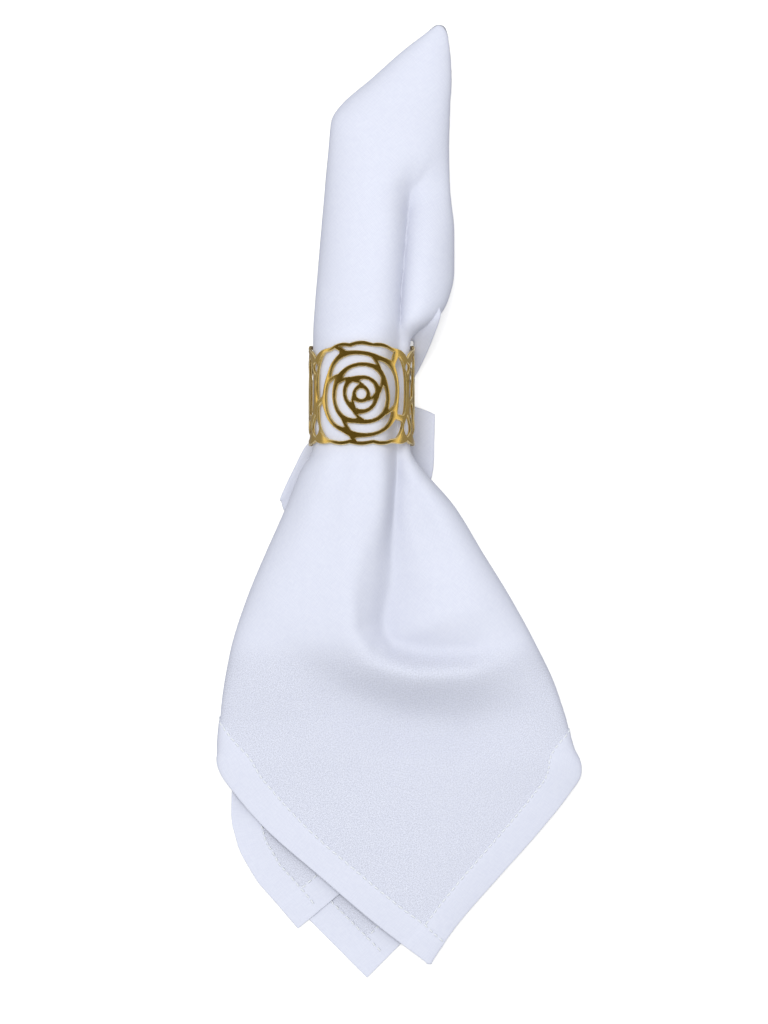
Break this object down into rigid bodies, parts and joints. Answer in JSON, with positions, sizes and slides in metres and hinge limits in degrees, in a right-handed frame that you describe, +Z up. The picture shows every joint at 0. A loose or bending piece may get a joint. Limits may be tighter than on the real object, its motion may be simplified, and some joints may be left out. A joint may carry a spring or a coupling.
{
  "type": "napkin in a ring",
  "caption": "Square hemmed table napkin, folded in four and gathered through an openwork rose-pattern metal ring, lying with its loose corners fanned out.",
  "frame": {"origin": "on the supporting surface, under the middle of the ring, on the flat line the ring rests on", "axes": "+X across the napkin to the right, +Y along the ring's axis towards the closed tip, +Z up; the loose corners point to -Y"},
  "size_m": [0.1381, 0.358, 0.0393],
  "materials": {
    "white_cloth": "plain weave, matt",
    "gold_metal": "polished gold plating"
  },
  "bodies": {
    "root": {"napkin": "white_cloth", "ring": "gold_metal"}
  },
  "joints": []
}
